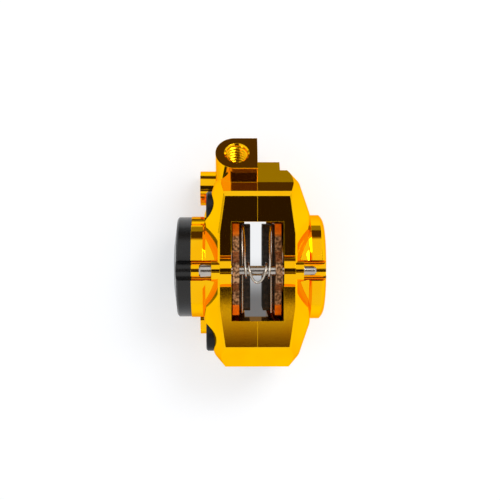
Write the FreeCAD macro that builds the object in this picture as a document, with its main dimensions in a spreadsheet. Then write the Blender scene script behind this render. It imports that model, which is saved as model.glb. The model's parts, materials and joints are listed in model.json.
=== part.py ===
"""Two-piece opposed-piston brake caliper, machined from bar and bolted together on its centre plane.

X is the rotor's axis, Y runs along the rotor's direction of travel and Z points away from the wheel, out of
the pad window. The origin is where the piston axis crosses the plane between the two body halves. Sizes are
in mm.
"""
import FreeCAD, Part
import math
import os

import Sketcher

os.makedirs("parts", exist_ok=True)
doc = FreeCAD.newDocument("caliper")

SIZES = {
    # body envelope
    "front_level": 15.0, "rear_level": -13.5, "shoulder_level": 9.5, "edge_bevel": 0.5,
    "top_end": 24.5, "bottom_end": -24.4, "tower_end": 26.6, "tower_half": 5.7,
    "waist_half": 13.2, "waist_reach": 13.5, "face_half": 9.7, "face_reach": 9.0,
    "shoulder_half": 10.45, "shoulder_reach": 21.4, "crown_half": 7.5, "foot_half": 7.9, "face_taper": 2.5,
    "shoulder_round": 3.0,
    # machined end facets, each as a step along Y and a drop along Z
    "top_edge": 18.1, "lip_run": 1.2, "lip_drop": 0.68, "dark_run": 2.2, "dark_drop": 1.95,
    "ramp_run": 5.3, "ramp_drop": 6.8, "bottom_edge": 18.8, "strip_run": 0.3, "strip_drop": 0.12,
    "sole_run": 5.5, "sole_drop": 5.7,
    # pad window and rotor slot
    "window_centre": -0.3, "window_width": 12.8, "window_height": 24.2, "ledge_level": -11.3,
    "slot_width": 5.8, "bridge_level": 5.3, "rotor_relief": 80.3,
    # piston barrels
    "flare_start": 9.0, "flare_radius": 15.2, "flare_curve": 5.5, "neck": 12.8, "neck_radius": 12.6,
    "rim_start": 13.5,
    "barrel_radius": 13.3, "rim_end": 15.9, "dome_edge": 17.1, "dome_edge_radius": 10.6, "dome_top": 17.8,
    "rim_curve": 3.2, "dome_flat": 3.0, "left_face": 16.4, "left_radius": 12.9,
    # bores and pistons
    "piston_radius": 9.0, "bore_clear": 0.03, "bore_start": 2.0, "bore_end": 14.7, "counterbore": 10.1,
    "spigot_depth": 3.7, "piston_wall": 2.6, "piston_floor": 2.2, "piston_break": 0.2, "piston_chamfer": 0.5,
    "piston_left": 5.6, "piston_right": 8.0,
    # seals
    "seal_at": 8.6, "seal_width": 2.1, "seal_depth": 1.6, "wiper_at": 7.1, "wiper_width": 0.9,
    "wiper_depth": 1.0, "seal_fit": 0.02, "seal_gap": 0.05, "seal_side": 0.1,
    # cap
    "cap_radius": 12.75, "cap_thick": 3.6, "cap_bevel": 0.45, "cap_dome": 0.8,
    "spigot_gap": 0.2, "spigot_fit": 0.05, "cap_groove": 0.8, "cap_groove_width": 1.2,
    "cap_groove_depth": 1.0, "cap_ring_wire": 0.48,
    # pad pin and its channel
    "pin_across": -0.2, "pin_level": 13.0, "pin_radius": 1.25, "pin_clear": 0.05, "pin_boss": 4.3,
    "boss_step": 9.2, "pin_collar": 2.65, "boss_end": 11.3, "channel_radius": 2.5, "head_radius": 1.65,
    "head_end": 14.3, "head_gap": 0.1, "head_bevel": 0.35, "tail_radius": 1.12, "tail_end": 14.4,
    "tail_start": 11.7, "tail_bevel": 0.4, "pin_key": 0.95, "pin_key_depth": 1.4,
    # pads
    "lining_face": 1.6, "lining_back": 4.45, "plate_back": 6.05, "plate_low": -11.6, "plate_high": 11.2,
    "plate_base": -11.0, "plate_top": 9.3, "ear_low": -3.0, "ear_high": 1.9, "ear_level": 15.2,
    "ear_ramp": 2.4, "ear_hole": 1.55, "ear_inset": 0.5, "ear_bevel": 0.7, "plate_corner": 1.5,
    "plate_cheek": 0.8, "plate_slant": 2.6, "lining_half": 10.9, "lining_base": -9.5, "lining_top": 4.4,
    "lining_corner": 1.2, "lining_bevel": 0.8, "lining_cheek": 0.6,
    # body bolts
    "bolt_middle": -0.75, "bolt_spread": 15.85, "bolt_level": 7.1, "bolt_radius": 2.5, "bolt_head": 4.1,
    "bolt_head_height": 3.5, "bolt_end": 12.6, "bolt_reach": 7.6, "bolt_edge": 0.4, "bolt_tip": 0.6,
    "bolt_gap": 0.3, "bolt_clear": 0.15, "head_clear": 0.2, "bolt_key": 2.31, "bolt_key_depth": 2.2,
    # hose port
    "port_x": -5.05, "port_y": 28.5, "port_z": 14.0, "port_tilt": 37.0, "port_round": -5.55,
    "port_radius": 4.7, "port_length": 17.0, "port_thread": 2.675, "port_depth": 9.0, "port_mouth": 3.05,
    "pilot_start": 12.0, "pilot_end": 8.0,
    # fluid drillings
    "gallery_radius": 0.6, "cross_y": 21.6, "cross_z": 6.7, "cross_right": 7.0, "cross_left": 6.0,
    "gland_radius": 1.6, "gland_depth": 0.55, "cross_ring": 1.2, "cross_ring_wire": 0.27,
    "feed_right": 6.6, "feed_left": 5.0, "bore_right": 13.7, "bore_left": 12.4, "bore_y": 8.4, "bore_z": 0.5,
    # mounting lugs
    "lug_face": 14.5, "lug_radius": 4.5, "lug_upper": 20.2, "lug_lower": -13.8, "lug_level": -9.0,
    "lug_hole": 2.6, "lug_inner": 7.4,
    # bleed plug in the right half
    "bleed_x": 5.55, "bleed_z": -3.0, "bleed_radius": 1.7, "bleed_length": 5.0, "bleed_head": 2.45,
    "bleed_seat": 1.2, "bleed_inset": 4.0, "bleed_flange": 0.8, "bleed_fit": 0.25, "bleed_gap": 0.3,
    "bleed_taper": 1.2, "bleed_tip": 0.8, "bleed_key": 1.15, "bleed_key_depth": 1.8, "washer_gap": 0.02,
    # spring wire
    "wire_radius": 0.3,
}
NEAR = 1e-6  # closer than this counts as touching
BEYOND = 6.0  # how far a flat cutter runs past the body
RUNOUT = 12.0  # length of a round cutter that only has to run out of the body
THROUGH = 40.0  # length of a round cutter that crosses the whole body
KEY_START = 0.2  # how far a socket's cutter stands proud of the head

sheet = doc.addObject("Spreadsheet::Sheet", "Sheet")
for row, (alias, number) in enumerate(SIZES.items(), start=1):
    sheet.set("A%d" % row, alias)
    sheet.set("B%d" % row, str(number))
    sheet.setAlias("B%d" % row, alias)
doc.recompute()


class Size:
    """A length or angle kept as a number, for first placement, and as the sheet formula that drives it."""

    def __init__(self, number, formula):
        self.number, self.formula = number, formula

    def join(self, other, sign, number):
        return Size(number, "(%s %s %s)" % (self.formula, sign, size(other).formula))

    def __add__(self, other):
        return self.join(other, "+", self.number + size(other).number)

    def __sub__(self, other):
        return self.join(other, "-", self.number - size(other).number)

    def __mul__(self, other):
        return self.join(other, "*", self.number * size(other).number)

    def __truediv__(self, other):
        return self.join(other, "/", self.number / size(other).number)

    def __neg__(self):
        return self * -1.0


def size(entry):
    """A sheet alias, a plain number or a Size, as a Size."""
    if isinstance(entry, Size):
        return entry
    if isinstance(entry, str):
        return Size(SIZES[entry], "Sheet." + entry)
    return Size(float(entry), "(%r)" % float(entry))


def sine(angle):
    """The sine of a sheet-driven angle in degrees."""
    return Size(math.sin(math.radians(angle.number)), "sin(%s)" % angle.formula)


def cosine(angle):
    """The cosine of a sheet-driven angle in degrees."""
    return Size(math.cos(math.radians(angle.number)), "cos(%s)" % angle.formula)


def drive(thing, **properties):
    """Binds properties to the sheet."""
    for name, entry in properties.items():
        thing.setExpression(name, size(entry).formula)
    return thing


def place(thing, x=0, y=0, z=0, turn=None):
    """Puts an object at a sheet-driven point, turned by (axis, degrees)."""
    if turn:
        rotation = FreeCAD.Rotation(FreeCAD.Vector(*turn[0]), turn[1])
        thing.Placement = FreeCAD.Placement(FreeCAD.Vector(), rotation)
    for axis, entry in (("x", x), ("y", y), ("z", z)):
        thing.setExpression("Placement.Base." + axis, size(entry).formula)
    return thing


TURNS = {"x": ((0, 1, 0), 90), "y": ((1, 0, 0), -90)}


# ---- sketches and features -----------------------------------------------------------------------------
def sketch_on(body, name, plane, level=0):
    """An empty sketch on one of the body's origin planes, raised to a sheet-driven level."""
    sketch = body.newObject("Sketcher::SketchObject", name)
    support = [part for part in body.Origin.OriginFeatures if part.Role == plane][0]
    sketch.AttachmentSupport = (support, [""])
    sketch.MapMode = "FlatFace"
    sketch.setExpression("AttachmentOffset.Base.z", size(level).formula)
    return sketch


def pin_point(sketch, curve, end, entry, axis):
    """Holds one coordinate of a sketch point at a sheet-driven distance from the origin."""
    distance = size(entry)
    if abs(distance.number) < NEAR:
        sketch.addConstraint(Sketcher.Constraint("PointOnObject", curve, end, -2 if axis == "X" else -1))
        return
    index = sketch.addConstraint(Sketcher.Constraint("Distance" + axis, -1, 1, curve, end, distance.number))
    sketch.setExpression("Constraints[%d]" % index, distance.formula)


def arc_between(start, stop, radius, turn):
    """An arc from start to stop that bulges left of its chord where turn is 1, and right where it is -1."""
    chord = stop - start
    sagitta = radius - math.sqrt(radius ** 2 - chord.Length ** 2 / 4)
    left = FreeCAD.Vector(-chord.y, chord.x, 0).normalize()
    return Part.Arc(start, (start + stop) * 0.5 + left * sagitta * turn, stop)


def outline(sketch, points, arcs=None):
    """Draws a closed outline through sheet-driven corners; arcs gives each curved side's (radius, turn)."""
    arcs = arcs or {}
    corners = [(size(x), size(y)) for x, y in points]
    places = [FreeCAD.Vector(x.number, y.number, 0) for x, y in corners]
    ends = []
    for side, (start, stop) in enumerate(zip(places, places[1:] + places[:1])):
        radius, turn = arcs.get(side, (None, -1))
        sketch.addGeometry(arc_between(start, stop, size(radius).number, turn) if radius
                           else Part.LineSegment(start, stop))
        ends.append((1, 2) if turn < 0 else (2, 1))
        if radius:
            index = sketch.addConstraint(Sketcher.Constraint("Radius", side, size(radius).number))
            sketch.setExpression("Constraints[%d]" % index, size(radius).formula)
    count = len(corners)
    for side in range(count):
        following = (side + 1) % count
        leave, arrive = ends[side][1], ends[following][0]
        sketch.addConstraint(Sketcher.Constraint("Coincident", side, leave, following, arrive))
    for side, (x, y) in enumerate(corners):
        pin_point(sketch, side, ends[side][0], x, "X")
        pin_point(sketch, side, ends[side][0], y, "Y")
    return sketch


def new_body(name):
    """An empty PartDesign body, ready for sketches."""
    body = doc.addObject("PartDesign::Body", name)
    doc.recompute()
    return body


def pad(body, name, plane, level, points, length):
    """Raises an outline from its level by a sheet-driven length."""
    feature = body.newObject("PartDesign::Pad", name)
    feature.Profile = outline(sketch_on(body, name + "Sketch", plane, level), points)
    drive(feature, Length=length)
    doc.recompute()
    return feature


def pocket_across(body, name, plane, points):
    """Cuts an outline right through the body, both ways from its plane, and checks that it cut."""
    before = body.Shape.Volume
    feature = body.newObject("PartDesign::Pocket", name)
    feature.Profile = outline(sketch_on(body, name + "Sketch", plane), points)
    feature.Type = "ThroughAll"
    feature.Midplane = True
    doc.recompute()
    if body.Shape.Volume >= before - NEAR:
        raise RuntimeError(name + " cut nothing")
    return feature


def loft(body, name, lower, lower_level, upper, upper_level):
    """Joins two outlines on parallel planes by flat-sided walls."""
    feature = body.newObject("PartDesign::AdditiveLoft", name)
    feature.Profile = outline(sketch_on(body, name + "Lower", "XY_Plane", lower_level), lower)
    feature.Sections = [outline(sketch_on(body, name + "Upper", "XY_Plane", upper_level), upper)]
    feature.Ruled = True
    doc.recompute()
    return feature


def revolve(body, name, points, arcs=None):
    """Turns a profile of (along the axis, radius) corners about the body's X axis."""
    feature = body.newObject("PartDesign::Revolution", name)
    sketch = outline(sketch_on(body, name + "Sketch", "XY_Plane"), points, arcs)
    feature.Profile = sketch
    feature.ReferenceAxis = (sketch, ["H_Axis"])
    feature.Angle = 360.0
    doc.recompute()
    return feature


def turned(name, points):
    """A body of its own turned from one profile about X."""
    body = new_body(name)
    revolve(body, name + "Turn", points)
    return body


# ---- primitives for bores and bosses --------------------------------------------------------------------
def cylinder(name, radius, length, x=0, y=0, z=0, axis="x", turn=None):
    """A sheet-driven rod from a point along an axis, or along its own z turned by (axis, degrees)."""
    rod = drive(doc.addObject("Part::Cylinder", name), Radius=radius, Height=length)
    return place(rod, x, y, z, turn or TURNS[axis])


def cone(name, foot, tip, length, x, y, z, turn):
    """A sheet-driven cone from a point along its own z turned by (axis, degrees)."""
    plug = drive(doc.addObject("Part::Cone", name), Radius1=foot, Radius2=tip, Height=length)
    return place(plug, x, y, z, turn)


def socket(name, radius, depth, x=0, y=0, z=0, axis="x"):
    """The cutter for a hexagonal key socket."""
    prism = drive(doc.addObject("Part::Prism", name), Circumradius=radius, Height=depth)
    prism.Polygon = 6
    return place(prism, x, y, z, TURNS[axis])


def box(name, low, high):
    """A block between two sheet-driven corners."""
    block = doc.addObject("Part::Box", name)
    low, high = [size(entry) for entry in low], [size(entry) for entry in high]
    drive(block, Length=high[0] - low[0], Width=high[1] - low[1], Height=high[2] - low[2])
    return place(block, *low)


def between(name, radius, start, stop):
    """A drilling from one sheet-driven point to another."""
    start, stop = [size(entry) for entry in start], [size(entry) for entry in stop]
    way = FreeCAD.Vector(*[b.number - a.number for a, b in zip(start, stop)])
    rod = drive(doc.addObject("Part::Cylinder", name), Radius=radius)
    squares = ["%s * %s" % ((b - a).formula, (b - a).formula) for a, b in zip(start, stop)]
    rod.setExpression("Height", "sqrt(%s)" % " + ".join(squares))
    rod.Placement = FreeCAD.Placement(FreeCAD.Vector(), FreeCAD.Rotation(FreeCAD.Vector(0, 0, 1), way))
    for axis, entry in zip("xyz", start):
        rod.setExpression("Placement.Base." + axis, entry.formula)
    return rod


def fuse(name, pieces):
    """Joins pieces into one solid."""
    joined = doc.addObject("Part::MultiFuse", name)
    joined.Shapes = pieces
    return joined


def cut(name, base, tools):
    """Takes every tool away from the base."""
    result = doc.addObject("Part::Cut", name)
    result.Base = base
    result.Tool = tools[0] if len(tools) == 1 else fuse(name + "Tools", tools)
    return result


def group(name, pieces):
    """Several separate solids kept as one node."""
    result = doc.addObject("Part::Compound", name)
    result.Links = pieces
    return result


# ---- body halves ---------------------------------------------------------------------------------------
def half_outline(side, crown, shoulder, waist, foot, reach):
    """One half's outline seen from the front, from the split plane round to the split plane."""
    top, bottom = size("top_end"), size("bottom_end")
    corners = [
        (0, bottom), (foot, bottom), (shoulder, -size("shoulder_reach")), (waist, -size(reach)),
        (waist, reach), (shoulder, "shoulder_reach"), (crown, top), (0, top),
    ]
    return [(size(x) * side, y) for x, y in corners]


def half_block(side, tag):
    """The milled block of one half: straight flanks, sloping sides, bevelled front edge and end facets."""
    body = new_body("Block" + tag)
    wide = ("crown_half", "shoulder_half", "waist_half", "foot_half", "waist_reach")
    taper, bevel = size("face_taper"), size("edge_bevel")
    narrow = (size("crown_half") - taper / 2, size("shoulder_half") - taper, size("face_half"),
              size("foot_half") - taper / 2, "face_reach")
    edge = tuple(size(entry) - bevel for entry in narrow[:4]) + ("face_reach",)
    shoulder, front = size("shoulder_level"), size("front_level")
    pad(body, "Flank" + tag, "XY_Plane", "rear_level", half_outline(side, *wide), shoulder - "rear_level")
    loft(body, "Slope" + tag, half_outline(side, *wide), shoulder, half_outline(side, *narrow), front - bevel)
    round_shoulder(body, tag)
    loft(body, "Bevel" + tag, half_outline(side, *narrow), front - bevel, half_outline(side, *edge), front)
    tower_side = size("tower_half") * side
    tower = [(0, "top_edge"), (tower_side, "top_edge"), (tower_side, "tower_end"), (0, "tower_end")]
    pad(body, "Tower" + tag, "XY_Plane", "rear_level", tower, front - "rear_level")
    barrel(body, side, tag)
    far, high = size("tower_end") + BEYOND, front + BEYOND
    first = (size("top_edge"), front)
    second = (first[0] + "lip_run", first[1] - "lip_drop")
    third = (second[0] + "dark_run", second[1] - "dark_drop")
    fourth = (third[0] + "ramp_run", third[1] - "ramp_drop")
    pocket_across(body, "TopFacets" + tag, "YZ_Plane",
                  [(first[0], high), first, second, third, fourth, (far, fourth[1]), (far, high)])
    first = (-size("bottom_edge"), front)
    second = (first[0] - "strip_run", first[1] - "strip_drop")
    third = (second[0] - "sole_run", second[1] - "sole_drop")
    pocket_across(body, "BottomFacets" + tag, "YZ_Plane",
                  [(first[0], high), (-far, high), (-far, third[1]), third, second, first])
    seat = size("rear_level")
    pocket_across(body, "Seat" + tag, "YZ_Plane",
                  [(-far, seat), (far, seat), (far, seat - BEYOND), (-far, seat - BEYOND)])
    return body


def round_shoulder(body, tag):
    """Rounds the block's upright corners and the edges where its flanks turn into its slopes."""
    base = body.Tip
    level, end = SIZES["shoulder_level"], -SIZES["bottom_end"]
    names = []
    for index, edge in enumerate(base.Shape.Edges, start=1):
        points = [vertex.Point for vertex in edge.Vertexes]
        outer = all(abs(point.x) > NEAR for point in points)
        along_shoulder = all(abs(point.z - level) < NEAR for point in points)
        inside_ends = all(abs(point.y) < end - NEAR for point in points)
        upright = inside_ends and abs(points[0].z - points[1].z) > NEAR
        if outer and (along_shoulder or upright):
            names.append("Edge%d" % index)
    feature = body.newObject("PartDesign::Fillet", "ShoulderRound" + tag)
    feature.Base = (base, names)
    drive(feature, Radius="shoulder_round")
    doc.recompute()
    return feature


def barrel(body, side, tag):
    """The piston barrel: a flare that curves out of the block, a neck and a raised rim."""
    common = [("slot_width", 0), ("slot_width", "flare_radius"), ("flare_start", "flare_radius"),
              ("neck", "neck_radius")]
    if side > 0:
        rim = [("rim_start", "barrel_radius"), ("rim_end", "barrel_radius"),
               ("dome_edge", "dome_edge_radius"), ("dome_top", "dome_flat"), ("dome_top", 0)]
    else:
        rim = [("rim_start", "left_radius"), ("left_face", "left_radius"), ("left_face", 0)]
    arcs = {2: ("flare_curve", -side)}
    if side > 0:
        arcs[5] = ("rim_curve", 1)
    revolve(body, "Barrel" + tag, [(size(x) * side, r) for x, r in common + rim], arcs)


def bolt_at(end):
    """Where a body bolt lies along Y: end is 1 at the port end and -1 at the other."""
    return size("bolt_middle") + size("bolt_spread") * end


def ring_tool(name, side, radius, depth, at, width):
    """A groove cutter round the piston bore."""
    start = size(at) if side > 0 else -(size(at) + width)
    return cylinder(name, size(radius) + depth, width, x=start)


def common_tools(side, tag):
    """Everything cut alike from both halves: window, rotor slot, bore, seal grooves, pin hole and channel."""
    half = size("window_width") / 2
    low = size("window_centre") - size("window_height") / 2
    high = low + "window_height"
    bore = size("piston_radius") + "bore_clear"
    channel_x = size("boss_end") if side > 0 else -(size("boss_end") + RUNOUT)
    return [
        box("Window" + tag, (-half, low, "ledge_level"), (half, high, size("front_level") + BEYOND)),
        cylinder("Slot" + tag, "rotor_relief", "slot_width", x=-size("slot_width") / 2,
                 z=size("bridge_level") - "rotor_relief"),
        ring_tool("SealGroove" + tag, side, bore, "seal_depth", "seal_at", "seal_width"),
        ring_tool("WiperGroove" + tag, side, bore, "wiper_depth", "wiper_at", "wiper_width"),
        cylinder("PinHole" + tag, size("pin_radius") + "pin_clear", THROUGH, x=-THROUGH / 2,
                 y="pin_across", z="pin_level"),
        cylinder("Channel" + tag, "channel_radius", RUNOUT, x=channel_x, y="pin_across", z="pin_level"),
    ]


def pin_boss(side, tag):
    """The round boss that carries the pad pin: a wide block beside the window, then a slim collar."""
    window, step, end = size("window_width") / 2, size("boss_step"), size("boss_end")
    pieces = []
    for name, radius, start, stop in (("PinBlock", "pin_boss", window, step),
                                      ("PinCollar", "pin_collar", step, end)):
        pieces.append(cylinder(name + tag, radius, stop - start, x=start if side > 0 else -stop,
                               y="pin_across", z="pin_level"))
    return pieces


def right_half():
    """The half with the blind piston bore, the bolt threads and the bleed plug's hole."""
    bore = size("piston_radius") + "bore_clear"
    bleed_end = ("bleed_x", size("bottom_end") + "bleed_inset", "bleed_z")
    tools = common_tools(1, "R") + [
        cylinder("BoreR", bore, size("bore_end") - "bore_start", x="bore_start"),
        cylinder("CrossR", "gallery_radius", "cross_right", y="cross_y", z="cross_z"),
        between("FeedR", "gallery_radius", ("feed_right", "cross_y", "cross_z"),
                ("bore_right", "bore_y", "bore_z")),
        between("BleedFeed", "gallery_radius", bleed_end, ("bore_right", -size("bore_y"), "bore_z")),
        cylinder("BleedHole", "bleed_radius", "bleed_length", x="bleed_x", y="bottom_end", z="bleed_z",
                 axis="y"),
        cylinder("BleedSeat", "bleed_head", "bleed_seat", x="bleed_x", y="bottom_end", z="bleed_z", axis="y"),
    ]
    tools += [cylinder("BoltTap%d" % index, "bolt_radius", "bolt_reach", y=bolt_at(end), z="bolt_level")
              for index, end in enumerate((1, -1))]
    return cut("body_half_right", fuse("JoinR", [half_block(1, "R")] + pin_boss(1, "R")), tools)


def port_axis():
    """Sine and cosine of the hose port's tilt from the front towards the top."""
    tilt = size("port_tilt")
    return sine(tilt), cosine(tilt)


def along_port(distance):
    """A point on the hose port's axis, so far inward from its face."""
    slant, rise = port_axis()
    return size("port_x"), size("port_y") - slant * distance, size("port_z") - rise * distance


def port_boss():
    """The D-shaped boss: a round side away from the split plane and a flat side lying on it."""
    turn = ((1, 0, 0), -SIZES["port_tilt"])
    y, z = along_port("port_length")[1:]
    slant, rise = port_axis()
    round_side = cylinder("PortRound", "port_radius", "port_length", x="port_round", y=y, z=z, turn=turn)
    flat_side = doc.addObject("Part::Box", "PortFlat")
    drive(flat_side, Length=-size("port_round"), Width=size("port_radius") * 2, Height="port_length")
    place(flat_side, "port_round", y - rise * "port_radius", z + slant * "port_radius", turn)
    return [round_side, flat_side]


def port_tools():
    """The hose port's threaded hole, the pilot drilling below it and the countersink at its mouth."""
    turn = ((1, 0, 0), -SIZES["port_tilt"])
    tools = []
    for name, radius, start, stop in (("PortTap", "port_thread", "port_depth", -1.0),
                                      ("PortPilot", "gallery_radius", "pilot_start", "pilot_end")):
        x, y, z = along_port(start)
        tools.append(cylinder(name, radius, size(start) - stop, x=x, y=y, z=z, turn=turn))
    x, y, z = along_port(size("port_mouth") - "port_thread")
    tools.append(cone("PortMouth", "port_thread", "port_mouth", size("port_mouth") - "port_thread",
                      x=x, y=y, z=z, turn=turn))
    return tools


def lug(end, name):
    """A round mounting lug along X with a flat outer face."""
    length = size("lug_face") - "lug_inner"
    return cylinder(name, "lug_radius", length, x=-size("lug_face"), y=end, z="lug_level")


def left_half():
    """The half with the open piston bore, the hose port, the bolt heads' seats and the mounting lugs."""
    seat = size("bolt_end") - "bolt_head_height"
    bore = size("piston_radius") + "bore_clear"
    tools = common_tools(-1, "L") + port_tools() + [
        cylinder("BoreL", bore, THROUGH / 2, x=-(size("bore_start") + THROUGH / 2)),
        cylinder("Counterbore", "counterbore", RUNOUT, x=-(size("left_face") - "spigot_depth" + RUNOUT)),
        cylinder("CrossL", "gallery_radius", "cross_left", x=-size("cross_left"), y="cross_y", z="cross_z"),
        cylinder("Gland", "gland_radius", "gland_depth", x=-size("gland_depth"), y="cross_y", z="cross_z"),
        between("FeedL", "gallery_radius", (-size("feed_left"), "cross_y", "cross_z"),
                (-size("bore_left"), "bore_y", "bore_z")),
    ]
    for index, end in enumerate((1, -1)):
        tools += [
            cylinder("BoltWay%d" % index, size("bolt_radius") + "bolt_clear", THROUGH / 2, x=-THROUGH / 2,
                     y=bolt_at(end), z="bolt_level"),
            cylinder("HeadRoom%d" % index, size("bolt_head") + "head_clear", RUNOUT, x=-(seat + RUNOUT),
                     y=bolt_at(end), z="bolt_level"),
        ]
    for index, level in enumerate(("lug_upper", "lug_lower")):
        tools.append(cylinder("LugHole%d" % index, "lug_hole", size("lug_face") + BEYOND,
                              x=-(size("lug_face") + BEYOND), y=level, z="lug_level"))
    bosses = port_boss() + pin_boss(-1, "L") + [lug("lug_upper", "LugUpper"), lug("lug_lower", "LugLower")]
    return cut("body_half_left", fuse("JoinL", [half_block(-1, "L")] + bosses), tools)


# ---- hydraulic parts -----------------------------------------------------------------------------------
def bore_cap():
    """The screwed-in cap that closes the left bore, notched where the pad pin is drawn out over it."""
    face, back = size("left_face"), size("left_face") + "cap_thick"
    inner = face - "spigot_depth" + "spigot_gap"
    groove = inner + "cap_groove"
    spigot, gland = size("counterbore") - "spigot_fit", size("counterbore") - "cap_groove_depth"
    top = back + "cap_dome"
    profile = [
        (inner, 0), (inner, spigot), (groove, spigot), (groove, gland), (groove + "cap_groove_width", gland),
        (groove + "cap_groove_width", spigot), (face, spigot), (face, "cap_radius"),
        (back - "cap_bevel", "cap_radius"), (back, size("cap_radius") - "cap_bevel"),
        (top, size("cap_radius") / 2), (top, 0),
    ]
    notch = cylinder("CapNotch", "channel_radius", RUNOUT, x=-(face + BEYOND), y="pin_across", z="pin_level")
    return cut("bore_cap", turned("CapTurned", [(-x, radius) for x, radius in profile]), [notch])


def ring(name, side, inner, outer, at, width):
    """A square-section ring round the piston axis."""
    start, stop = size(at) * side, (size(at) + width) * side
    return turned(name, [(start, inner), (start, outer), (stop, outer), (stop, inner)])


def o_ring(name, radius, wire, x, y=0, z=0):
    """A round-section ring about X."""
    torus = drive(doc.addObject("Part::Torus", name), Radius1=radius, Radius2=wire)
    return place(torus, x, y, z, TURNS["x"])


def piston(side, tag, length):
    """A cup piston, open towards the pad, with a chamfered crown."""
    start, radius = size("plate_back"), size("piston_radius")
    stop, floor, inner = start + length, start + "piston_floor", radius - "piston_wall"
    profile = [
        (start, inner), (start, radius - "piston_break"), (start + "piston_break", radius),
        (stop - "piston_chamfer", radius), (stop, radius - "piston_chamfer"), (stop, 0), (floor, 0),
        (floor, inner),
    ]
    return turned("piston_" + tag, [(x * side, r) for x, r in profile])


def hydraulics():
    """Everything that holds or moves the fluid apart from the two body halves."""
    bore, fit = size("piston_radius") + "bore_clear", size("piston_radius") + "seal_fit"
    gap = size("seal_gap")
    cap_ring = size("counterbore") - size("cap_groove_depth") / 2
    spigot_end = size("left_face") - "spigot_depth" + "spigot_gap"
    cap_ring_x = spigot_end + "cap_groove" + size("cap_groove_width") / 2
    cross_ring_x = -size("gland_depth") / 2
    nodes = [
        bore_cap(), o_ring("bore_cap_o_ring", cap_ring, "cap_ring_wire", -cap_ring_x),
        piston(-1, "left", "piston_left"), piston(1, "right", "piston_right"),
        o_ring("crossover_o_ring", "cross_ring", "cross_ring_wire", cross_ring_x, "cross_y", "cross_z"),
    ]
    for side, tag in ((-1, "left"), (1, "right")):
        nodes.append(ring("piston_seal_" + tag, side, fit, bore + "seal_depth" - gap,
                          size("seal_at") + "seal_side", size("seal_width") - size("seal_side") * 2))
        nodes.append(ring("piston_wiper_" + tag, side, fit, bore + "wiper_depth" - gap,
                          size("wiper_at") + gap, size("wiper_width") - gap * 2))
    return nodes


# ---- pads, pin, spring ---------------------------------------------------------------------------------
def backplate(side, tag):
    """The steel plate of one pad, with the ear that hangs on the pad pin."""
    body = new_body("Plate_" + tag)
    low, high, base, top = (size(name) for name in ("plate_low", "plate_high", "plate_base", "plate_top"))
    corner, cheek, slant = size("plate_corner"), top - "plate_cheek", size("plate_slant")
    ear_low, ear_high, ear = size("ear_low"), size("ear_high"), size("ear_level")
    inset, ramp = size("ear_inset"), size("ear_ramp")
    points = [
        (low, base + corner), (low + corner, base), (high - corner, base), (high, base + corner),
        (high, cheek), (high - slant, top), (ear_high + ramp, top), (ear_high + inset, ear - "ear_bevel"),
        (ear_high, ear), (ear_low, ear), (ear_low - inset, ear - "ear_bevel"), (ear_low - ramp, top),
        (low + slant, top), (low, cheek),
    ]
    start = size("lining_back") if side > 0 else -size("plate_back")
    pad(body, "PlateBlank_" + tag, "YZ_Plane", start, points, size("plate_back") - "lining_back")
    hole = cylinder("EarHole_" + tag, "ear_hole", THROUGH, x=-THROUGH / 2, y="pin_across", z="pin_level")
    return cut("pad_backplate_" + tag, body, [hole])


def lining(side, tag):
    """The friction block bonded to one pad's plate."""
    body = new_body("pad_friction_" + tag)
    half, base, top = size("lining_half"), size("lining_base"), size("lining_top")
    corner, bevel, cheek = size("lining_corner"), size("lining_bevel"), top - "lining_cheek"
    points = [(-half, base + corner), (corner - half, base), (half - corner, base), (half, base + corner),
              (half, cheek), (half - bevel, top), (bevel - half, top), (-half, cheek)]
    start = size("lining_face") if side > 0 else -size("lining_back")
    pad(body, "Lining_" + tag, "YZ_Plane", start, points, size("lining_back") - "lining_face")
    return body


def pad_pin():
    """The retaining pin: a chamfered head with a key socket on the left, a plain shank and a stepped tail."""
    head, tail = size("head_end"), size("tail_end")
    shank, end = size("boss_end") + "head_gap", size("tail_start")
    profile = [
        (-head, 0), (-head, size("head_radius") - "head_bevel"), (-(head - "head_bevel"), "head_radius"),
        (-shank, "head_radius"), (-shank, "pin_radius"), (end, "pin_radius"), (end, "tail_radius"),
        (tail - "tail_bevel", "tail_radius"), (tail, size("tail_radius") - "tail_bevel"), (tail, 0),
    ]
    body = turned("PinTurned", profile)
    place(body, 0, "pin_across", "pin_level")
    key = socket("PinKey", "pin_key", size("pin_key_depth") + KEY_START, -(head + KEY_START),
                 "pin_across", "pin_level")
    return cut("pad_pin", body, [key])


def spring_route():
    """Half the spring: from the foot of its leg, up, once round the pad pin and down to the loop's middle.

    The coil's places are given from the pin's centre and the leg's from the pad's own edges.
    """
    pin_y, pin_z = SIZES["pin_across"], SIZES["pin_level"]
    leg_x, leg_z = SIZES["lining_back"] - 0.8, SIZES["lining_top"] + 2.2
    top, bottom = SIZES["plate_high"] - 0.6, SIZES["plate_low"] + 0.4
    coil = SIZES["pin_radius"] + SIZES["wire_radius"] + 0.25
    points = [(leg_x, bottom, leg_z), (leg_x, -4.0, leg_z), (leg_x, 4.0, leg_z), (leg_x, top - 0.8, leg_z),
              (leg_x - 0.1, top, leg_z + 0.7), (leg_x - 0.3, top - 0.9, leg_z + 1.5)]
    turns = 8
    for step in range(turns + 1):
        angle = math.radians(50 + 360.0 * step / turns)
        x = leg_x - 0.65 - 0.9 * step / turns
        points.append((x, pin_y + coil * math.cos(angle), pin_z + coil * math.sin(angle)))
    points += [(leg_x - 1.75, pin_y - 0.2, pin_z + coil + 0.25),
               (leg_x - 2.2, pin_y - 1.5, pin_z + coil + 0.15), (leg_x - 2.85, pin_y - 2.45, pin_z + 1.6)]
    return points, (0.0, pin_y - 2.85, pin_z + 1.5)


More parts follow.
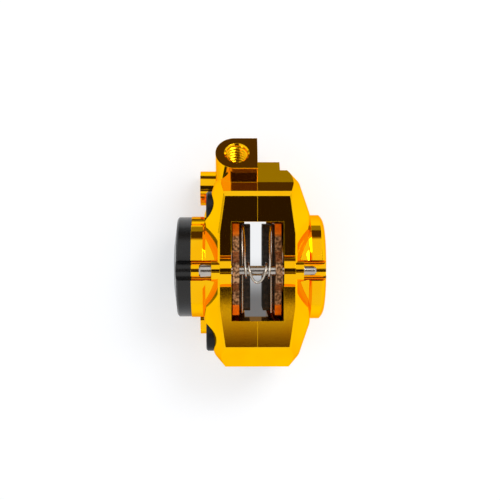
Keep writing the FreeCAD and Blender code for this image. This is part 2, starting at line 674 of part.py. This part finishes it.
def pad_spring():
    """The round-wire spring as one smooth sweep along its route."""
    half, middle = spring_route()
    route = [(-x, y, z) for x, y, z in half] + [middle] + half[::-1]
    curve = Part.BSplineCurve()
    curve.interpolate([FreeCAD.Vector(*point) for point in route])
    spine = Part.Wire([curve.toShape()])
    start, way = curve.value(curve.FirstParameter), curve.tangent(curve.FirstParameter)[0]
    section = Part.Wire([Part.makeCircle(SIZES["wire_radius"], start, way)])
    spring = doc.addObject("Part::Feature", "pad_spring")
    spring.Shape = spine.makePipe(Part.Face(section))
    return spring


# ---- fasteners -----------------------------------------------------------------------------------------
def body_bolt(end, tag):
    """A low-head socket screw lying along X with its head on the left."""
    out, radius = size("bolt_end"), size("bolt_radius")
    seat = out - "bolt_head_height"
    tip = size("bolt_reach") - "bolt_gap"
    profile = [
        (-out, 0), (-out, size("bolt_head") - "bolt_edge"), (-(out - "bolt_edge"), "bolt_head"),
        (-seat, "bolt_head"), (-seat, radius), (tip - "bolt_tip", radius), (tip, radius - "bolt_tip"),
        (tip, 0),
    ]
    body = turned("Screw" + tag, profile)
    place(body, 0, bolt_at(end), "bolt_level")
    key = socket("Key" + tag, "bolt_key", size("bolt_key_depth") + KEY_START, -(out + KEY_START),
                 bolt_at(end), "bolt_level")
    return cut("Bolt" + tag, body, [key])


def bleed_plug():
    """The bleed screw: a flanged plug with a hex socket, sunk in the lower end of the right half."""
    bottom, radius = size("bottom_end"), size("bleed_radius")
    head, flange = size("bleed_head") - "bleed_fit", size("bleed_flange")
    tip = size("bleed_length") - "bleed_gap"
    profile = [(0, 0), (0, head), (flange, head), (flange, radius),
               (size("bleed_length") - "bleed_taper", radius), (tip, "bleed_tip"), (tip, 0)]
    body = turned("PlugTurned", profile)
    place(body, "bleed_x", bottom, "bleed_z", ((0, 0, 1), 90))
    key = socket("PlugKey", "bleed_key", size("bleed_key_depth") + KEY_START, "bleed_x", bottom - KEY_START,
                 "bleed_z", "y")
    return cut("bleed_plug", body, [key])


def bleed_washer():
    """The sealing washer under the bleed plug's flange."""
    near, far = size("bleed_flange") + "washer_gap", size("bleed_seat") - "washer_gap"
    outer = size("bleed_head") - "bleed_gap"
    profile = [(near, "bleed_radius"), (near, outer), (far, outer), (far, "bleed_radius")]
    body = turned("bleed_washer", profile)
    return place(body, "bleed_x", "bottom_end", "bleed_z", ((0, 0, 1), 90))


nodes = [left_half(), right_half()] + hydraulics()
for side, tag in ((-1, "left"), (1, "right")):
    nodes += [backplate(side, tag), lining(side, tag)]
nodes += [pad_pin(), pad_spring(), group("body_bolts", [body_bolt(1, "Upper"), body_bolt(-1, "Lower")]),
          bleed_plug(), bleed_washer()]
doc.recompute()

for thing in doc.Objects:
    if "Invalid" in thing.State or "Error" in thing.State:
        raise RuntimeError("%s: %s" % (thing.Name, thing.State))
for node in nodes:
    node.Label = node.Name
    if node.Shape.isNull() or not node.Shape.isValid():
        raise RuntimeError(node.Name + " has no valid shape")
    node.Shape.exportStep("parts/%s.step" % node.Name)
    print(node.Name, len(node.Shape.Solids), round(node.Shape.Volume, 1))
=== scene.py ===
"""The gold caliper lying on its back on a white table, seen from almost straight above its pad window."""
import json
import math

import bmesh
import bpy
from mathutils import Matrix, Vector


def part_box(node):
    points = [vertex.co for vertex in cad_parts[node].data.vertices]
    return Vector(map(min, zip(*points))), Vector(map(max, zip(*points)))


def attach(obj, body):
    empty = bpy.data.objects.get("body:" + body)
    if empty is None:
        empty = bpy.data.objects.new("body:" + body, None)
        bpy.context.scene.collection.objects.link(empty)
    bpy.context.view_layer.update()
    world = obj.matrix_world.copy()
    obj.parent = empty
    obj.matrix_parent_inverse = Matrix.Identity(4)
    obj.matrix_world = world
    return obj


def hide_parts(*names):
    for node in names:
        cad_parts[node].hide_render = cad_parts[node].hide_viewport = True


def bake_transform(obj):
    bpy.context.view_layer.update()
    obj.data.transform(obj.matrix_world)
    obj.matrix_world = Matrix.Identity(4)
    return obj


MM = 0.001

# camera: distance from the piston axis, lean towards the hose port, swing along X, where its axis crosses the
# piston's level, and its lens
CAMERA_DISTANCE = 274 * MM
CAMERA_LEAN = math.radians(2.5)
CAMERA_SWING = math.radians(-1.0)
CAMERA_AIM = Vector((-1.59 * MM, 4.3 * MM, 0))
CAMERA_LENS = 76.75
CAMERA_SENSOR = 36
CAMERA_CLIP = (0.01, 10)

# the two tones of the gold anodising
GOLD = ((1.0, 0.50, 0.003), (1.0, 0.54, 0.006))

# what the gold's reflections keep of their colour where a surface is seen edge on
GOLD_EDGE = (1.0, 0.60, 0.04)

# the middle part of a noise's values, which is spread over a whole range
NOISE_SPAN = (0.3, 0.7)

# pad plates: middle of the stamped part along Y, where the plain ends begin, and the colours of both
PLATE_MIDDLE = -0.4 * MM
PLATE_ENDS = (8.2 * MM, 8.8 * MM)
PLATE_WORN = ((0.20, 0.095, 0.04), (0.66, 0.38, 0.20))
PLATE_ORANGE = (0.72, 0.22, 0.02)

# the open table: its two pale tones, and its own glow, which keeps the gold's colour from showing on it
TABLE_SIZE = 3.0
TABLE_TONES = ((0.49, 0.50, 0.52), (0.51, 0.52, 0.54))
TABLE_GLOW = 0.52
TABLE_GLOW_COLOUR = (0.96, 0.98, 1.0)

# the painted shadow under the rotor slot: where the patch of table ends across and along, its dark tone, and
# the painted light whose glow rises across it from the far end to the port end
SLOT_SHADOW_SIDES = (4.0 * MM, 5.2 * MM)
SLOT_SHADOW_ENDS = (24 * MM, 26 * MM)
SLOT_PAINTED_SHADOW = (0.12, 0.12, 0.12)
SLOT_PAINTED_LIGHT_RISE = (-10 * MM, 3 * MM)
SLOT_PAINTED_LIGHT = (0.16, 0.90)

# painted shade, seen in the gold's reflections: beyond the camera's view the table darkens between these two
# places on the port side, down to this tone, and its glow fades out
TABLE_PAINTED_SHADE_RANGE = (73 * MM, 90 * MM)
FAR_PAINTED_SHADE = (0.26, 0.26, 0.26)

# the tent's brightness, and the colour of its light where it is dark and where it is bright
TENT = 0.95
DARK_LIGHT = (1.0, 0.59, 0.32)
BRIGHT_LIGHT = (1.0, 0.99, 0.975)
BRIGHT_FROM = 0.85

# the dark gap overhead, given by how nearly a direction points straight up, and its brightness
OVERHEAD = (0.935, 0.955)
OVERHEAD_LIGHT = 0.022

# the strip in that gap, away from the hose port, given by how much a direction leans along Y: its edge, its
# fade and its brightness
STRIP_EDGE = (-0.0955, -0.0895)
STRIP_FADE = (-0.138, -0.094)
STRIP_LIGHT = (0.06, 0.70)

# the dark side past the hose port, given in the same way, and its brightness
PORT_SIDE = (0.90, 0.96)
PORT_SIDE_LIGHT = 0.07

# the one lamp, aimed at the origin
SOFTBOX_PLACE = Vector((0.25, 0.30, 0.5))
SOFTBOX_SIZE = 0.25
SOFTBOX_POWER = 1.3

# hose port thread, cut down the axis of the port; its section is given by radius and place along the pitch
PORT_FACE = Vector((-5.05, 28.5, 14.0)) * MM
PORT_TILT = math.radians(37)
THREAD_PITCH = 1.0 * MM
THREAD_ROOT = 2.70 * MM
THREAD_CREST = 2.30 * MM
THREAD_TURNS = 8.0
THREAD_START = 0.5 * MM
THREAD_STEPS = 64
THREAD_RUN_IN = 20
THREAD_SECTION = ((THREAD_ROOT, -0.33), (THREAD_CREST, -0.09), (THREAD_CREST, 0.09), (THREAD_ROOT, 0.33))


# ---- node helpers ----
class Nodes:
    """A short way to add and join shader nodes in one tree."""

    def __init__(self, tree):
        self.tree = tree
        tree.nodes.clear()

    def add(self, kind, **settings):
        """A new node, with settings that are its properties or the values of its inputs."""
        node = self.tree.nodes.new(kind)
        for name, setting in settings.items():
            if hasattr(node, name):
                setattr(node, name, setting)
            else:
                node.inputs[name].default_value = setting
        return node

    def join(self, source, target, name=0):
        """Links a socket, or a node's first output, to an input of the target."""
        socket = source if isinstance(source, bpy.types.NodeSocket) else source.outputs[0]
        self.tree.links.new(socket, target.inputs[name])

    def maths(self, operation, first, second=0.0):
        """Arithmetic on numbers, sockets or nodes."""
        node = self.add("ShaderNodeMath", operation=operation)
        for index, entry in enumerate((first, second)):
            if isinstance(entry, (int, float)):
                node.inputs[index].default_value = entry
            else:
                self.join(entry, node, index)
        return node

    def step(self, entry, low, high, to_low=0.0, to_high=1.0):
        """A smooth change from to_low to to_high as entry goes from low to high."""
        node = self.add("ShaderNodeMapRange", interpolation_type="SMOOTHSTEP")
        self.join(entry, node, 0)
        for index, number in enumerate((low, high, to_low, to_high), start=1):
            node.inputs[index].default_value = number
        return node

    def noise(self, scale, detail, stretch=(1, 1, 1)):
        """Noise in object space, at a scale in features per metre, stretched along some axes."""
        mapping = self.add("ShaderNodeMapping")
        mapping.inputs["Scale"].default_value = stretch
        self.join(self.add("ShaderNodeTexCoord").outputs["Object"], mapping)
        node = self.add("ShaderNodeTexNoise")
        node.inputs["Scale"].default_value = scale
        node.inputs["Detail"].default_value = detail
        self.join(mapping, node)
        return node.outputs[0]

    def blend(self, factor, first, second):
        """A colour between two colours or sockets."""
        node = self.add("ShaderNodeMix", data_type="RGBA")
        for index, entry in ((6, first), (7, second)):
            if isinstance(entry, tuple):
                node.inputs[index].default_value = (*entry, 1.0)
            else:
                self.join(entry, node, index)
        self.join(factor, node)
        return node.outputs[2]

    def relief(self, source, shader, strength, depth):
        """Gives the shader fine height from a source, and returns the bump node."""
        height = self.add("ShaderNodeBump", Strength=strength, Distance=depth)
        self.join(source, height, "Height")
        self.join(height, shader, "Normal")
        return height

    def finish(self, shader, kind="ShaderNodeOutputMaterial"):
        """Sends the shader to the tree's output."""
        self.join(shader, self.add(kind), "Surface")


def material(name):
    """A new material and its empty node tree."""
    made = bpy.data.materials.new(name)
    made.use_nodes = True
    return made, Nodes(made.node_tree)


def metal(name, colours, roughness, grain=2500, stretch=(1, 1, 6), bump=0.02, metallic=1.0, edge=0.12 * MM,
          specular=0.5, edge_tint=(1.0, 1.0, 1.0)):
    """A machined or coated metal: colour drift, fine tool marks in roughness and height, eased edges."""
    made, nodes = material(name)
    shader = nodes.add("ShaderNodeBsdfPrincipled")
    drift = nodes.step(nodes.noise(90, 2), 0.35, 0.65)
    marks = nodes.noise(grain, 4, stretch)
    nodes.join(nodes.blend(drift, *colours), shader, "Base Color")
    nodes.join(nodes.step(marks, *NOISE_SPAN, *roughness), shader, "Roughness")
    shader.inputs["Metallic"].default_value = metallic
    shader.inputs["Specular IOR Level"].default_value = specular
    shader.inputs["Specular Tint"].default_value = (*edge_tint, 1.0)
    height = nodes.relief(marks, shader, bump, 0.05 * MM)
    if edge:
        nodes.join(nodes.add("ShaderNodeBevel", samples=4, Radius=edge), height, "Normal")
    nodes.finish(shader)
    return made


def dull(name, colours, roughness=(0.6, 0.9), grain=900, bump=0.3, depth=0.08 * MM):
    """A moulded or sintered material: two tones of grain with real relief."""
    made, nodes = material(name)
    shader = nodes.add("ShaderNodeBsdfPrincipled")
    specks = nodes.noise(grain, 5)
    nodes.join(nodes.blend(nodes.step(specks, 0.42, 0.6), *colours), shader, "Base Color")
    nodes.join(nodes.step(specks, *NOISE_SPAN, *roughness), shader, "Roughness")
    nodes.relief(specks, shader, bump, depth)
    nodes.finish(shader)
    return made


def copper_plate():
    """Copper-coloured plating, orange at the plate's ends, pitted and browner along its stamped middle."""
    made, nodes = material("copper_plate")
    shader = nodes.add("ShaderNodeBsdfPrincipled")
    place = nodes.add("ShaderNodeTexCoord").outputs["Object"]
    split = nodes.add("ShaderNodeSeparateXYZ")
    nodes.join(place, split)
    away = nodes.maths("ABSOLUTE", nodes.maths("SUBTRACT", split.outputs[1], PLATE_MIDDLE))
    ends = nodes.step(away, *PLATE_ENDS)
    specks = nodes.noise(1500, 4)
    worn = nodes.blend(nodes.step(specks, 0.38, 0.62), *PLATE_WORN)
    nodes.join(nodes.blend(ends, worn, PLATE_ORANGE), shader, "Base Color")
    shader.inputs["Metallic"].default_value = 0.85
    nodes.join(nodes.step(specks, *NOISE_SPAN, 0.28, 0.5), shader, "Roughness")
    nodes.relief(specks, shader, 0.35, 0.06 * MM)
    nodes.finish(shader)
    return made


def finishes():
    """One material for each slot in the record."""
    silver = ((0.5, 0.5, 0.52), (0.62, 0.62, 0.64))
    grey = ((0.40, 0.37, 0.34), (0.52, 0.48, 0.44))
    spring = ((0.50, 0.46, 0.40), (0.66, 0.62, 0.56))
    anodised = ((0.004, 0.004, 0.0045), (0.009, 0.009, 0.009))
    oxide = ((0.003, 0.003, 0.0035), (0.007, 0.007, 0.007))
    return {
        "gold_anodised": metal("gold_anodised", GOLD, (0.045, 0.075), bump=0.010, edge_tint=GOLD_EDGE),
        "black_anodised": metal("black_anodised", anodised, (0.18, 0.3), metallic=0.0, bump=0.03,
                                specular=0.38),
        "piston_metal": metal("piston_metal", silver, (0.25, 0.4)),
        "copper_plate": copper_plate(),
        "friction": dull("friction", ((0.012, 0.010, 0.008), (0.05, 0.042, 0.034))),
        "bright_steel": metal("bright_steel", grey, (0.16, 0.26), stretch=(8, 1, 1), edge=0.05 * MM),
        "spring_steel": metal("spring_steel", spring, (0.18, 0.3), edge=0),
        "black_steel": metal("black_steel", oxide, (0.3, 0.45), metallic=0.0, bump=0.04, specular=0.2),
        "seal_rubber": dull("seal_rubber", ((0.01, 0.01, 0.011), (0.025, 0.025, 0.026)), bump=0.1),
    }


# ---- pieces ----
def port_thread():
    """The helical ridge of the hose port's thread, from just inside the mouth down to the bottom."""
    count = int(THREAD_TURNS * THREAD_STEPS)
    inward = -Vector((0, math.sin(PORT_TILT), math.cos(PORT_TILT)))
    across = Vector((1, 0, 0))
    up = inward.cross(across)
    vertices, faces = [], []
    for index in range(count + 1):
        angle = 2 * math.pi * index / THREAD_STEPS
        way = across * math.cos(angle) + up * math.sin(angle)
        depth = THREAD_START + THREAD_PITCH * index / THREAD_STEPS
        fade = min(1.0, index / THREAD_RUN_IN, (count - index) / THREAD_RUN_IN)
        for radius, lift in THREAD_SECTION:
            radius = THREAD_ROOT + (radius - THREAD_ROOT) * fade
            vertices.append(PORT_FACE + inward * (depth + lift * THREAD_PITCH) + way * radius)
    width = len(THREAD_SECTION)
    for index in range(count):
        for corner in range(width):
            a, b = index * width + corner, index * width + (corner + 1) % width
            faces.append((a, b, b + width, a + width))
    faces += [tuple(range(width)), tuple(range(count * width + width - 1, count * width - 1, -1))]
    mesh = bpy.data.meshes.new("port_thread")
    mesh.from_pydata(vertices, [], faces)
    mesh.update()
    ridge = bpy.data.objects.new("port_thread", mesh)
    bpy.context.scene.collection.objects.link(ridge)
    return ridge


def spring_half(spring, side, pad_body, finish):
    """One half of the round-wire spring, cut off at the middle and named after its pad; its leg lies against
    that pad and its loop around the pin.
    """
    name = "spring_" + pad_body
    mesh = spring.data.copy()
    mesh.name = name
    shape = bmesh.new()
    shape.from_mesh(mesh)
    everything = shape.verts[:] + shape.edges[:] + shape.faces[:]
    away = (-side, 0, 0)
    cut = bmesh.ops.bisect_plane(shape, geom=everything, plane_co=(0, 0, 0), plane_no=away, clear_outer=True)
    rim = [edge for edge in cut["geom_cut"] if isinstance(edge, bmesh.types.BMEdge)]
    bmesh.ops.contextual_create(shape, geom=rim)
    shape.to_mesh(mesh)
    shape.free()
    half = bpy.data.objects.new(name, mesh)
    bpy.context.scene.collection.objects.link(half)
    mesh.materials.clear()
    mesh.materials.append(finish)
    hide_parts("pad_spring")
    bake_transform(half)


# ---- table, light, camera ----
def table(level):
    """A pale matt table well past every side of the object, with a soft glow of its own, a painted shadow
    under the rotor slot and painted shade past the camera's view on the port side.
    """
    bpy.ops.mesh.primitive_plane_add(size=TABLE_SIZE, location=(0, 0, level))
    plane = bpy.context.object
    plane.name = "table"
    made, nodes = material("table")
    shader = nodes.add("ShaderNodeBsdfPrincipled", Roughness=0.9)
    shader.inputs["Specular IOR Level"].default_value = 0.1
    shader.inputs["Emission Color"].default_value = (*TABLE_GLOW_COLOUR, 1.0)
    split = nodes.add("ShaderNodeSeparateXYZ")
    nodes.join(nodes.add("ShaderNodeTexCoord").outputs["Object"], split)
    x, y = split.outputs[0], split.outputs[1]
    # painted shade: past the camera's view on the port side the table darkens and stops glowing
    far_painted_shade = nodes.step(y, *TABLE_PAINTED_SHADE_RANGE)
    # painted shadow: the table under the rotor slot gets a dark tone and a painted light gradient in its glow
    under = nodes.step(nodes.maths("ABSOLUTE", x), *SLOT_SHADOW_SIDES, 1.0, 0.0)
    inside = nodes.step(nodes.maths("ABSOLUTE", y), *SLOT_SHADOW_ENDS, 1.0, 0.0)
    slot_shadow = nodes.maths("MULTIPLY", under, inside)
    pale = nodes.blend(nodes.step(nodes.noise(14, 2), *NOISE_SPAN), *TABLE_TONES)
    nodes.join(nodes.blend(slot_shadow, nodes.blend(far_painted_shade, pale, FAR_PAINTED_SHADE), SLOT_PAINTED_SHADOW), shader, "Base Color")
    open_glow = nodes.maths("MULTIPLY", nodes.maths("SUBTRACT", 1.0, far_painted_shade), TABLE_GLOW)
    open_glow = nodes.maths("MULTIPLY", open_glow, nodes.maths("SUBTRACT", 1.0, slot_shadow))
    slot_painted_light = nodes.maths("MULTIPLY", slot_shadow, nodes.step(y, *SLOT_PAINTED_LIGHT_RISE, *SLOT_PAINTED_LIGHT))
    nodes.join(nodes.maths("ADD", slot_painted_light, open_glow), shader, "Emission Strength")
    nodes.finish(shader)
    plane.data.materials.append(made)


def studio():
    """A bright tent, dark overhead where the camera stands and dark at the side past the hose port."""
    world = bpy.data.worlds.new("tent")
    bpy.context.scene.world = world
    world.use_nodes = True
    nodes = Nodes(world.node_tree)
    way = nodes.add("ShaderNodeSeparateXYZ")
    nodes.join(nodes.add("ShaderNodeTexCoord").outputs["Generated"], way)
    y, z = way.outputs[1], way.outputs[2]
    strip = nodes.maths("MULTIPLY", nodes.step(y, *STRIP_EDGE, 1.0, 0.0),
                        nodes.step(y, *STRIP_FADE, *STRIP_LIGHT))
    dark = nodes.maths("ADD", strip, OVERHEAD_LIGHT)
    port_side = nodes.maths("MULTIPLY", nodes.step(y, *PORT_SIDE), TENT - PORT_SIDE_LIGHT)
    tent = nodes.maths("SUBTRACT", TENT, port_side)
    overhead = nodes.step(z, *OVERHEAD)
    around = nodes.maths("SUBTRACT", 1.0, overhead)
    strength = nodes.maths("ADD", nodes.maths("MULTIPLY", overhead, dark),
                           nodes.maths("MULTIPLY", around, tent))
    glow = nodes.add("ShaderNodeBackground")
    nodes.join(nodes.blend(nodes.step(strength, 0.0, BRIGHT_FROM), DARK_LIGHT, BRIGHT_LIGHT), glow, "Color")
    nodes.join(strength, glow, "Strength")
    nodes.finish(glow, "ShaderNodeOutputWorld")


def softbox():
    """A square lamp high on the right, towards the port end."""
    light = bpy.data.lights.new("upper_right", "AREA")
    light.shape, light.size, light.energy = "SQUARE", SOFTBOX_SIZE, SOFTBOX_POWER
    lamp = bpy.data.objects.new("upper_right", light)
    lamp.location = SOFTBOX_PLACE
    lamp.rotation_mode = "QUATERNION"
    lamp.rotation_quaternion = (-SOFTBOX_PLACE).to_track_quat("-Z", "Y")
    bpy.context.scene.collection.objects.link(lamp)


def camera():
    """The camera, almost straight above the pad window."""
    back = Vector((math.sin(CAMERA_SWING), math.sin(CAMERA_LEAN), 0))
    back.z = math.sqrt(1 - back.length_squared)
    side = Vector((0, 1, 0)).cross(back).normalized()
    turn = Matrix((side, back.cross(side), back)).transposed()
    lens = bpy.data.cameras.new("camera")
    lens.lens, lens.sensor_width = CAMERA_LENS, CAMERA_SENSOR
    lens.clip_start, lens.clip_end = CAMERA_CLIP
    viewer = bpy.data.objects.new("camera", lens)
    viewer.rotation_mode = "QUATERNION"
    viewer.rotation_quaternion = turn.to_quaternion()
    viewer.location = CAMERA_AIM + back * CAMERA_DISTANCE
    bpy.context.scene.collection.objects.link(viewer)
    bpy.context.scene.camera = viewer


# ---- scene ----
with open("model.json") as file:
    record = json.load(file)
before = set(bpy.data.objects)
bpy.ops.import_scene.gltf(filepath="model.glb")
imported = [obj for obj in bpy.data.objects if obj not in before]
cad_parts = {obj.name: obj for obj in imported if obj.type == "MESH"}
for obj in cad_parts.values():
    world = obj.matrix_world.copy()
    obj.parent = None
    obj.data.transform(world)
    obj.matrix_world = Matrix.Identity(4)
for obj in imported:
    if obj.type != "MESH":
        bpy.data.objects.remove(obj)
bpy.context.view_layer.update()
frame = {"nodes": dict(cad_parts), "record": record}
looks = finishes()

slots = {part["node"]: part["material_slot"] for part in frame["record"]["subparts"]}
for name, node in frame["nodes"].items():
    node.data.materials.clear()
    node.data.materials.append(looks[slots[name]])

thread = port_thread()
thread.data.materials.append(metal("thread_gold", GOLD, (0.16, 0.26), edge=0, edge_tint=GOLD_EDGE))
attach(thread, "caliper_body")
for side, pad_body in ((-1, "left_pad"), (1, "right_pad")):
    spring_half(frame["nodes"]["pad_spring"], side, pad_body, looks["spring_steel"])

table(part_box("body_half_left")[0].z)
studio()
softbox()
camera()
bpy.context.scene.view_settings.view_transform = "Standard"
